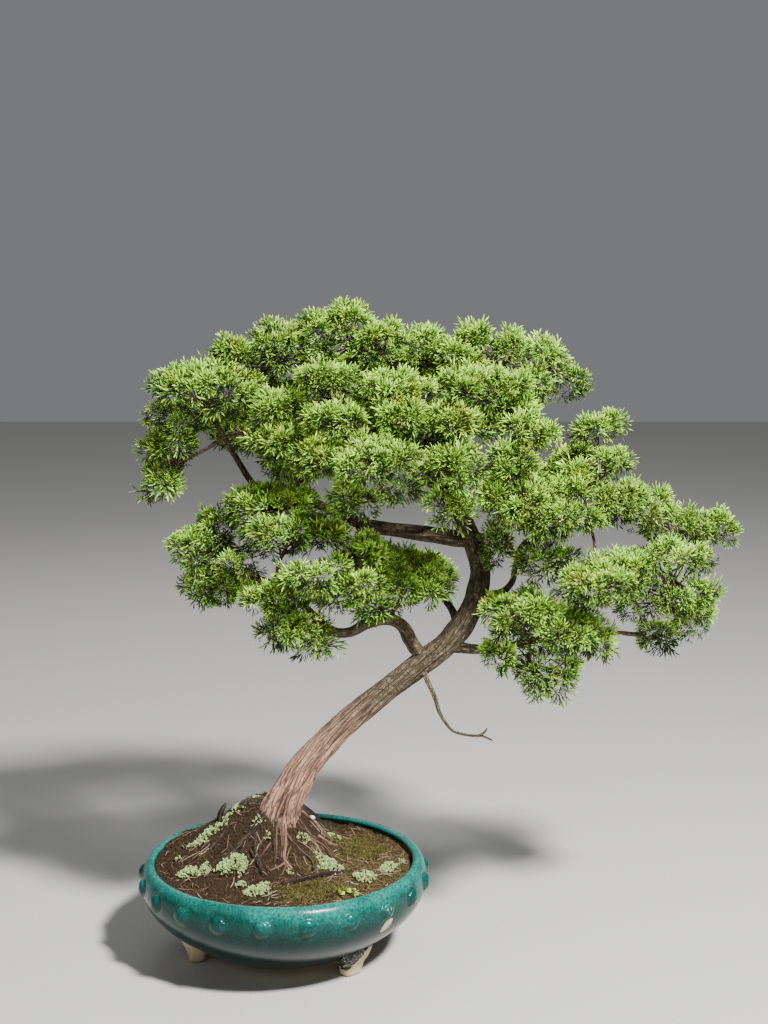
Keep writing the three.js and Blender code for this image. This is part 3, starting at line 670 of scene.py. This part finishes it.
def barked_limb(route, step, sides, age, twist=0.0045, flare=0.0, depth=0.08):
    """A limb with stringy bark: a tube with its route's radius times (base swell + flutes + knobs - furrows).

    Flutes are sines of 2a and 3a, where a is the angle round the limb plus a slow twist. Furrows are noise
    read at (cos a, sin a) times the radius and a small share of the distance along, so they run in strands.
    """
    length = np.linalg.norm(np.diff(np.asarray(route)[:, :3], axis=0), axis=1).sum()
    rows, run = spline(route, max(int(length / step), 8))
    centres, radius = rows[:, :3], rows[:, 3]
    angle = np.linspace(0, TAU, sides, endpoint=False)
    spiral = angle[None, :] + twist * run[:, None]
    round_it = radius[:, None, None] * np.stack([np.cos(spiral), np.sin(spiral)], -1)
    along_it = np.broadcast_to(GRAIN_STRETCH * run[:, None, None], (*spiral.shape, 1))
    grain = np.concatenate([round_it, along_it], -1).reshape(-1, 3)
    seed = int(abs(route[0][0] * 7 + route[-1][0] * 3))
    strands = layered_noise(grain, 3.0, 3, seed).reshape(spiral.shape)
    broad = lattice_noise(grain + 50, 9.0, seed + 9).reshape(spiral.shape)
    lumps = lattice_noise(centres, 26.0, seed + 4)[:, None]
    flutes = 0.07 * np.sin(2 * spiral + 1.3) + 0.05 * np.sin(3 * spiral + 0.4 + 0.006 * run[:, None])
    furrow = smoothstep(-0.25, -0.85, strands)
    base = flare * np.exp(-((run / 42.0) ** 2))[:, None] * (0.7 + 0.5 * np.sin(5 * spiral + 1.0))
    bumps = layered_noise(centres.repeat(sides, 0) + 8 * grain, 30.0, 2, seed + 2)
    knobs = 0.06 * bumps.reshape(spiral.shape)
    swell = (0.93 + 0.45 * flutes + 0.04 * lumps + 0.04 * broad + knobs
             + depth * (0.6 * strands - 0.6 * furrow) + base)
    rings = rings_about(centres, angle, radius[:, None] * swell)
    points, faces = capped(rings, rings[0].mean(0) - 0.3 * radius[0] * unit(centres[1] - centres[0]),
                           rings[-1].mean(0) + 0.5 * radius[-1] * unit(centres[-1] - centres[-2]))
    grain = np.vstack([grain, [[0.0, 0.0, 0.0], [0.0, 0.0, GRAIN_STRETCH * run[-1]]]])
    ages = age(points[:, 2]) if callable(age) else np.full(len(points), age)
    return points, faces, grain, np.append(furrow.ravel(), [0.0, 0.0]), ages


def trunk_age(z):
    """0 for the fresh pinkish bark low on the trunk, rising to 1 where it is grey and weathered."""
    return 0.85 * smoothstep(0, 210, z - COLLAR)


def make_wood(name, shape, stands_for=("trunk_with_branches",)):
    """A piece of wood, whose bark reads its grain, its furrows and its age."""
    values = {"grain": shape[2], "furrow": shape[3], "age": shape[4]}
    make_piece(name, shape, BARK, stands_for, values)


trunk_shape = barked_limb(from_collar(TRUNK), 1.35, 144, trunk_age, flare=0.07)
make_wood("trunk_bark", trunk_shape)

branch_routes = [from_collar(route) for route in BRANCHES.values()]
branch_shape = bundle([barked_limb(route, 1.8, 22, 0.9, depth=0.2) for route in branch_routes])
make_wood("branches_bark", branch_shape)

root_routes = [(along_soil(route), dark) for route, dark in ROOTS.values()]
root_shape = bundle([barked_limb(route, 1.6, 22, dark, depth=0.14) for route, dark in root_routes])
make_wood("surface_roots", root_shape)


# ---- foliage

def make_shoots(name, shape, material, stands_for=()):
    """A piece made of spindles, whose material reads how near their tips it is and each one's tint."""
    make_piece(name, shape, material, stands_for, {"tip": shape[2], "tint": shape[3]}, smooth=False)


def node_surface(node):
    """Corners of a CAD node's triangles, about the pot's axis, with each one's area and outward normal."""
    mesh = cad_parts[node].data
    points = np.empty(3 * len(mesh.vertices), np.float32)
    mesh.vertices.foreach_get("co", points)
    mesh.calc_loop_triangles()
    corners = np.empty(3 * len(mesh.loop_triangles), np.int32)
    mesh.loop_triangles.foreach_get("vertices", corners)
    spots = (points.reshape(-1, 3) / MM - AXIS)[corners.reshape(-1, 3)]
    cross = np.cross(spots[:, 1] - spots[:, 0], spots[:, 2] - spots[:, 0])
    return spots, np.linalg.norm(cross, axis=1) / 2, unit(cross)


def scattered(surface, count, random):
    """Random places spread evenly over a surface, and the normals there."""
    spots, areas, normals = surface
    pick = random.choice(len(areas), count, p=areas / areas.sum())
    a, b = random.random((2, count, 1))
    flip = a + b > 1
    a, b = np.where(flip, 1 - a, a), np.where(flip, 1 - b, b)
    corner = spots[pick]
    places = corner[:, 0] + a * (corner[:, 1] - corner[:, 0]) + b * (corner[:, 2] - corner[:, 0])
    return places, normals[pick]


def kept_apart(places, gap):
    """Which of the places to keep so that no two are nearer than the gap, taking them in order."""
    kept = [0]
    for i in range(1, len(places)):
        if np.min(np.linalg.norm(places[kept] - places[i], axis=1)) > gap:
            kept.append(i)
    return np.array(kept)


def spindles(starts, ends, thick):
    """Points and faces of three-sided spindles from starts to ends, widest two thirds of the way along."""
    angle = np.linspace(0, TAU, 3, endpoint=False)
    out = unit(ends - starts)
    side = unit(np.cross(out, [0.31, 0.52, 0.8]))
    ring = np.cos(angle)[:, None, None] * side + np.sin(angle)[:, None, None] * np.cross(out, side)
    waist = starts + 0.68 * (ends - starts) + thick * ring
    points = np.concatenate([starts[None], waist, ends[None]]).transpose(1, 0, 2)
    one = np.array([[0, 2, 1], [0, 3, 2], [0, 1, 3], [1, 2, 4], [2, 3, 4], [3, 1, 4]])
    faces = (one[None] + 5 * np.arange(len(starts))[:, None, None]).reshape(-1, 3)
    return points.reshape(-1, 3), faces


def sprig(random, length, spread, thick):
    """A forked spray of shoots: four long ones from one point, each with two shorter side shoots."""
    starts, ends, tips = [], [], []
    for k in range(4):
        lean = spread * (0.3 + 0.7 * k / 3) * random.uniform(0.8, 1.1)
        turn = 2.4 * k + random.uniform(-0.5, 0.5)
        out = np.array([math.sin(lean) * math.cos(turn), math.sin(lean) * math.sin(turn), math.cos(lean)])
        reach = length * random.uniform(0.8, 1.1)
        starts.append(0 * out)
        ends.append(reach * out + UP * 0.06 * reach)
        tips.append([0.0, 0.65, 0.65, 0.65, 1.0])
        for share, angle in ((0.35, 0.7), (0.55, -0.75)):
            side = unit(np.cross(out, random.normal(size=3)))
            fork = unit(out * math.cos(angle) + side * math.sin(angle))
            starts.append(share * reach * out)
            ends.append(share * reach * out + fork * 0.55 * reach)
            tips.append([share, 0.75, 0.75, 0.75, 1.0])
    return (*spindles(np.array(starts), np.array(ends), thick), np.concatenate(tips))


BUD_GAP = 22.0
BUD_DEPTH = 14.0
SPRIGS_PER_BUD = 16
SHOOT_LENGTH = 15.0
SHOOT_RADIUS = 0.7
PADS = sorted(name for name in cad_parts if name.endswith("_pad"))


def all_pads_tree():
    """The pads' surfaces together, for finding where one pad's face lies against another."""
    corners = np.concatenate([node_surface(pad)[0] for pad in PADS])
    numbers = np.arange(3 * len(corners)).reshape(-1, 3)
    return BVHTree.FromPolygons(corners.reshape(-1, 3).tolist(), numbers.tolist())


def make_buds(pad, tree, random):
    """Centres of the little domes that cover a pad, just under its surface, and which way each one faces."""
    surface = node_surface(pad)
    places, normals = scattered(surface, int(surface[1].sum() / 55), random)
    kept = kept_apart(places, BUD_GAP)
    places, normals = places[kept], normals[kept]
    hits = [tree.ray_cast(Vector(p + 0.5 * n), Vector(n), 13.0)[0] for p, n in zip(places, normals)]
    open_air = np.array([hit is None for hit in hits])
    places, normals = places[open_air], normals[open_air]
    facing = unit(normals + [0, 0, 0.45])
    return places - BUD_DEPTH * normals, facing, normals


def make_foliage(pad, tree, random):
    """Domes of sprigs over a pad: each sprig starts on a small sphere and points away from its middle."""
    centres, facing, normals = make_buds(pad, tree, random)
    owner = np.repeat(np.arange(len(centres)), SPRIGS_PER_BUD)
    under = normals[owner, 2] < -0.35
    owner = owner[~(under & (random.random(len(owner)) < 0.4))]
    directions = unit(unit(random.normal(size=(len(owner), 3))) + 0.85 * facing[owner])
    places = centres[owner] + directions * random.uniform(4, 11, (len(owner), 1))
    leaning = unit(directions + random.normal(0, 0.35, directions.shape) + [0, 0, 0.1])
    long = random.random(len(owner)) < 0.12
    size = random.uniform(0.7, 1.15, len(owner)) + 0.45 * long
    turns = turns_towards(leaning, size, random)
    # Random tint plus painted light: sprigs facing up are made lighter and sprigs facing down darker, as
    # painted shade under the pads.
    tint_and_painted_shade = random.normal(0.42, 0.15, len(owner)) + 0.3 * directions[:, 2]
    tint_and_painted_shade += 0.16 * lattice_noise(places, 38.0, 3)
    parts = []
    for kind in range(4):
        chosen = np.arange(len(owner)) % 4 == kind
        points, faces, tips = sprig(random, SHOOT_LENGTH, 0.95, SHOOT_RADIUS)
        shape = copies(points, faces, places[chosen], turns[chosen])
        own = np.tile(0.1 * np.sin(17.0 * (np.arange(len(points)) // 5)), chosen.sum())
        tint = np.repeat(tint_and_painted_shade[chosen], len(points)) + own
        parts.append((*shape, np.tile(tips, chosen.sum()), np.clip(tint, 0, 1)))
    return bundle(parts), centres


LIVING = [route for name, route in BRANCHES.items() if not name.startswith("dead")]
LIMBS = [spline(from_collar(route), 160)[0] for route in [TRUNK, *LIVING]]


def nearest_limb(place):
    """The point of the trunk and branches nearest to a place, with the limb's radius there."""
    rows = np.concatenate(LIMBS)
    return rows[np.argmin(np.linalg.norm(rows[:, :3] - place, axis=1))]


def make_twigs(centres, random):
    """A twig from the nearest limb to the pad's middle, and from points along it a thin stem to each dome."""
    middle = centres.mean(0) - [0, 0, 6]
    *root, limb_radius = nearest_limb(middle)
    root = np.array(root)
    t = np.linspace(0, 1, 14)[:, None]
    sag = UP * (-0.22 * np.linalg.norm(middle - root)) * (t * (1 - t))
    main = root + (middle - root) * t + sag + 1.6 * np.sin(9 * t) * [1, 0.6, 0.3]
    thickness = np.linspace(min(3.2, 0.7 * limb_radius), 1.7, 14)
    parts = [ringed_tube(main, thickness, 8)]
    for centre in centres:
        start = main[random.integers(8, 14)]
        s = np.linspace(0, 1, 6)[:, None]
        bow = (UP * -0.18 + random.normal(0, 0.1, 3)) * np.linalg.norm(centre - start) * s * (1 - s) * 2
        parts.append(ringed_tube(start + (centre - start) * s + bow, np.linspace(1.25, 0.7, 6), 4))
    return bundle(parts)


pads_tree = all_pads_tree()
twig_parts = []
for number, pad in enumerate(PADS):
    random = np.random.default_rng(100 + number)
    shape, centres = make_foliage(pad, pads_tree, random)
    name = pad.replace("_pad", "_shoots")
    make_shoots(name, shape, FOLIAGE, [pad])
    twig_parts.append(make_twigs(centres, random))

twigs, twig_faces = bundle(twig_parts)
furrow, age = np.zeros(len(twigs)), np.full(len(twigs), 0.8)
make_wood("fine_twigs", (twigs, twig_faces, twigs * [1, 1, 0.3], furrow, age))


# ---- what lies on the soil

LITTER_EDGE = 151.0  # how far from the axis loose things lie
THIN_MOSS = 15000
CRUMBS = 4200
FIBRES = 1500

COVER = {  # a cushion's middle, half length, half width, thickness and turn in degrees
    "moss_front": (38, -96, 46, 26, 4, 12),
    "moss_right": (90, 36, 40, 40, 4, 0),
    "lichen_left_large": (-59, -54, 17, 17, 12, 0),
    "lichen_front": (-22, -94, 18, 12, 8, 20),
    "lichen_middle": (54, -34, 20, 14, 9, -35),
    "lichen_right": (99, -56, 16, 14, 9, 0),
    "lichen_far_right": (128, -17, 12, 12, 8, 0),
    "lichen_left": (-104, -50, 22, 12, 7, 20),
    "lichen_ridge": (-86, 8, 34, 11, 7, 32),
}
LICHEN_BITS = [  # across, deep and size
    (-44, -84, 7), (-17, -86, 6), (-30, -9, 7), (-21, -24, 6), (24, -13, 7), (59, 40, 7), (-126, -20, 5),
    (142, 8, 5), (-109, 0, 6), (-55, 23, 8), (-34, 24, 7), (10, -60, 4), (84, -92, 4),
]


def in_ellipse(x, y, half_length, half_width, turn, count, random):
    """Random places in a turned ellipse, how far out each lies as a share of it, and which way it lies."""
    share = np.sqrt(random.random(count))
    angle = random.uniform(0, TAU, count)
    along, across = half_length * share * np.cos(angle), half_width * share * np.sin(angle)
    c, s = math.cos(math.radians(turn)), math.sin(math.radians(turn))
    px, py = x + c * along - s * across, y + s * along + c * across
    return px, py, share, np.stack([px - x, py - y, 0 * px], 1) / max(half_length, half_width)


def on_ground(x, y, sink=0.0):
    """Places on the rough soil, given across and deep."""
    return np.stack([x, y, rough_soil(x, y) - sink], axis=1)


def moss_blades(places, length, random):
    """Short upright spindles, leaning each its own way, with their shade."""
    lean = unit(random.normal(0, 0.45, places.shape) + UP)
    ends = places + lean * (length * random.uniform(0.6, 1.3, (len(places), 1)))
    points, faces = spindles(places - 0.8 * UP, ends, 0.5)
    tips = np.tile([0.0, 0.5, 0.5, 0.5, 1.0], len(places))
    return points, faces, tips, np.repeat(random.random(len(places)), 5)


def lichen_antlers(places, outward, height, random):
    """Small forked stems: one up, two from its end, and two from the end of each, every one a spindle."""
    starts, ends, tips = [], [], []

    def grow(start, way, length, low, forks):
        end = start + way * length[:, None]
        starts.append(start)
        ends.append(end)
        tips.append(np.repeat([[low, low + 0.2, low + 0.2, low + 0.2, low + 0.34]], len(start), 0))
        for _ in range(2 if forks else 0):
            fork = unit(way + random.normal(0, 0.55, way.shape))
            grow(start + way * (0.86 * length)[:, None], fork, 0.72 * length, low + 0.3, forks - 1)

    grow(places, unit(UP + outward + random.normal(0, 0.3, places.shape)), height, 0.0, 2)
    points, faces = spindles(np.concatenate(starts), np.concatenate(ends), 0.95)
    tint = np.repeat(np.tile(random.random(len(places)), len(starts)), 5)
    return points, faces, np.concatenate(tips).ravel(), tint


def lichen_patch(x, y, half_length, half_width, thickness, turn, random):
    """Antlers over an ellipse, tall in the middle and spreading outwards at its edge."""
    count = int(math.pi * half_length * half_width / 5.0)
    px, py, share, away = in_ellipse(x, y, half_length, half_width, turn, count, random)
    ragged = share < 0.72 + 0.4 * lattice_noise(np.stack([px, py, 0 * px], 1), 7.0, 31)
    height = 0.5 * thickness * (1.05 - 0.5 * share**2)
    return lichen_antlers(on_ground(px, py, 0.5)[ragged], 1.1 * away[ragged], height[ragged], random)


random = np.random.default_rng(7)
for name, (x, y, half_length, half_width, thickness, turn) in COVER.items():
    if name.startswith("moss"):
        count = int(3.2 * half_length * half_width)
        px, py, share, _ = in_ellipse(x, y, half_length, half_width, turn, count, random)
        keep = share < 0.8 + 0.35 * lattice_noise(np.stack([px, py, 0 * px], 1), 12.0, 30)
        shape = moss_blades(on_ground(px, py)[keep], thickness, random)
        make_shoots(name + "_blades", shape, MOSS, [name])
    else:
        shape = lichen_patch(x, y, half_length, half_width, thickness, turn, random)
        make_shoots(name + "_antlers", shape, LICHEN, [name])

bits = bundle([lichen_patch(x, y, r, 0.8 * r, 0.7 * r + 2, 30, random) for x, y, r in LICHEN_BITS])
make_shoots("lichen_bits", bits, LICHEN)


def inside_mouth(count, random):
    """Random places on the soil inside the pot's mouth."""
    radius, angle = LITTER_EDGE * np.sqrt(random.random(count)), random.uniform(0, TAU, count)
    return radius * np.cos(angle), radius * np.sin(angle)


x, y = inside_mouth(THIN_MOSS, random)
mossy = random.random(len(x)) < 0.12 + 0.55 * moss_share(x, y)
shape = moss_blades(on_ground(x, y)[mossy], 3.0, random)
make_shoots("thin_moss", shape, MOSS)


def make_litter(random):
    """Crumbs, each a squashed octahedron, and fibres, each a thin bent tube, strewn over the soil.

    Across a fibre's own direction its middle line bows as -bend s^2, with s from -1/2 to 1/2 along it.
    """
    corners = np.array([[1, 0, 0], [0, 1, 0], [-1, 0, 0], [0, -1, 0], [0, 0, 1], [0, 0, -1]], float)
    k = np.arange(4)
    nxt = (k + 1) % 4
    faces = np.concatenate([np.stack([k, nxt, 0 * k + 4], 1), np.stack([nxt, k, 0 * k + 5], 1)])
    x, y = inside_mouth(CRUMBS, random)
    size = random.uniform(0.5, 1.9, len(x)) * random.uniform(0.5, 1.0, len(x))
    turns = turns_towards(random.normal(size=(len(x), 3)), size, random) * [1.0, 0.8, 0.6]
    points, numbers = copies(corners, faces, on_ground(x, y, -0.3), turns)
    parts = [(points, numbers, np.repeat(np.clip(random.normal(0.42, 0.25, len(x)), 0, 1), 6))]
    x, y = inside_mouth(FIBRES, random)
    for k in range(len(x)):
        s = np.linspace(-0.5, 0.5, 6)
        way, length, bend = random.uniform(0, TAU), random.uniform(6, 24), random.uniform(-5, 5)
        fx = x[k] + length * s * math.cos(way) - bend * s**2 * math.sin(way)
        fy = y[k] + length * s * math.sin(way) + bend * s**2 * math.cos(way)
        if np.hypot(fx, fy).max() > LITTER_EDGE or random.random() > 0.35 + 0.6 * moss_share(x[k], y[k]):
            continue
        line = on_ground(fx, fy, -0.7) + UP * random.uniform(0, 1.2)
        shape = ringed_tube(line, np.array([0.3, 0.5, 0.6, 0.6, 0.5, 0.3]), 3)
        parts.append((*shape, np.full(len(shape[0]), np.clip(random.normal(0.84, 0.14), 0, 1))))
    return bundle(parts)


litter = make_litter(random)
make_piece("litter", litter, LITTER, [], {"tint": litter[2]}, smooth=False)


def lying(route, lift):
    """A stick's or root's route along the soil: the ground's height plus a share of its own radius."""
    rows = spline([[x, y, 0, r] for x, y, r in route], 24)[0]
    x, y, _, r = rows.T
    return np.stack([x, y, soil_height(x, y) + lift * r + 0.8, r], axis=1)


STICKS = [  # rows of across, deep, radius; then how dark
    ([[3, -83, 2.2], [24, -72, 3.4], [48, -58, 3.8], [72, -40, 2.4]], 1.0),
    ([[4, -19, 1.6], [18, -28, 1.5], [34, -36, 1.4], [38, -52, 1.0]], 0.35),
    ([[41, 8, 2.2], [56, 12, 2.4], [68, 24, 2.2], [72, 36, 1.4]], 0.15),
    ([[36, -46, 1.3], [60, -52, 1.5], [86, -44, 1.3], [104, -46, 0.9]], 0.5),
    ([[-38, -35, 2], [-30, -48, 1.8], [-22, -62, 1.4]], 0.9),
    ([[20, 22, 1.8], [44, 30, 1.5], [70, 28, 1.2], [92, 40, 0.8]], 0.3),
    ([[-14, -30, 1.5], [-26, -44, 1.3], [-44, -50, 0.9]], 0.4),
    ([[10, -30, 1.2], [2, -52, 1.3], [-14, -62, 0.9]], 0.2),
    ([[28, -2, 1.6], [44, -16, 1.4], [50, -30, 1.0]], 0.1),
    ([[-60, 6, 2.6], [-80, -14, 2.2], [-96, -28, 1.4]], 0.8),
]
stick_shape = bundle([barked_limb(lying(route, 0.35), 1.6, 14, dark, depth=0.16) for route, dark in STICKS])
make_wood("thin_roots", stick_shape, [])

STUB = np.array([[-78, 18, 146, 4], [-79, 16, 158, 3.6], [-76, 15, 168, 3.2], [-71, 15, 177, 1.6]], float)
stub = barked_limb(STUB, 1.4, 18, 1.0, depth=0.2)
make_wood("broken_stub", stub, [])


def make_fallen_sprig(random):
    """Three small sprays lying on the soil near the front right."""
    points, faces, tips = sprig(random, 13.0, 0.8, 0.9)
    way = np.array([[0.95, -0.25, 0.12], [0.8, 0.5, 0.15], [0.9, 0.1, 0.1]])
    places = np.array([[64, -103, 0], [72, -101, 0], [80, -103, 0]], float)
    places[:, 2] = soil_height(places[:, 0], places[:, 1]) + 2.0
    shape = copies(points, faces, places, turns_towards(way, np.full(3, 1.0), random))
    return (*shape, np.tile(tips, 3), np.full(3 * len(points), 0.7))


fallen = make_fallen_sprig(random)
make_shoots("fallen_sprig", fallen, FOLIAGE)

PEBBLE = plain_finish("pebble", (0.75, 0.72, 0.68), Roughness=0.6)
turn = np.linspace(0, math.pi, 12)
pebble_line = np.array([32.0, 34.0, soil_height(32.0, 34.0) + 1.5]) - 4.2 * np.cos(turn)[:, None] * [1, 0, 0]
pebble = ringed_tube(pebble_line, np.maximum(2.8 * np.sin(turn), 0.15), 14)
make_piece("pebble", pebble, PEBBLE, [])

NET = plain_finish("net", (0.03, 0.03, 0.03), Roughness=0.6)
WIRE = plain_finish("wire", (0.6, 0.6, 0.6), Metallic=1.0, Roughness=0.4)
for node, finish in (("drainage_net", NET), ("net_wire", WIRE)):
    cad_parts[node].data.materials.clear()
    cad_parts[node].data.materials.append(finish)


# ---- camera, light and ground

LAMPS = {  # place in metres, size and power
    "key": ((1.0, -1.45, 2.3), 0.3, 235.0),
    "fill": ((-1.9, -1.6, 1.2), 1.6, 5.0),
    "back": ((-0.6, 1.9, 2.0), 1.4, 12.0),
}
LIT_POINT = (0, 0, 0.35)
WORLD_LIGHT = 0.2
CAMERA_PLACE = (120.5, -1850.0, 811.0)
CAMERA_TILT = 8.46
CAMERA_LENS = 56.25


def make_stage():
    """A pale floor, soft light from the front and upper right, and a camera looking slightly down."""
    bpy.ops.mesh.primitive_plane_add(size=14, location=(0, 0, 0))
    floor = bpy.context.object
    floor.name = "floor"
    floor.data.materials.append(plain_finish("floor", (0.62, 0.61, 0.58), Roughness=0.9))

    scene = bpy.context.scene
    scene.world = bpy.data.worlds.new("studio")
    scene.world.use_nodes = True
    background = scene.world.node_tree.nodes["Background"]
    background.inputs["Color"].default_value = (0.95, 0.97, 1.0, 1.0)
    background.inputs["Strength"].default_value = WORLD_LIGHT

    for name, (place, size, power) in LAMPS.items():
        light = bpy.data.lights.new(name, "AREA")
        light.size, light.energy = size, power
        lamp = bpy.data.objects.new(name, light)
        lamp.location = place
        aim = Vector(LIT_POINT) - Vector(place)
        lamp.rotation_euler = aim.to_track_quat("-Z", "Y").to_euler()
        scene.collection.objects.link(lamp)

    lens = bpy.data.cameras.new("camera")
    lens.lens = CAMERA_LENS
    camera = bpy.data.objects.new("camera", lens)
    camera.location = (AXIS + CAMERA_PLACE) * MM
    camera.rotation_euler = (math.radians(90 - CAMERA_TILT), 0, 0)
    scene.collection.objects.link(camera)
    scene.camera = camera


make_stage()
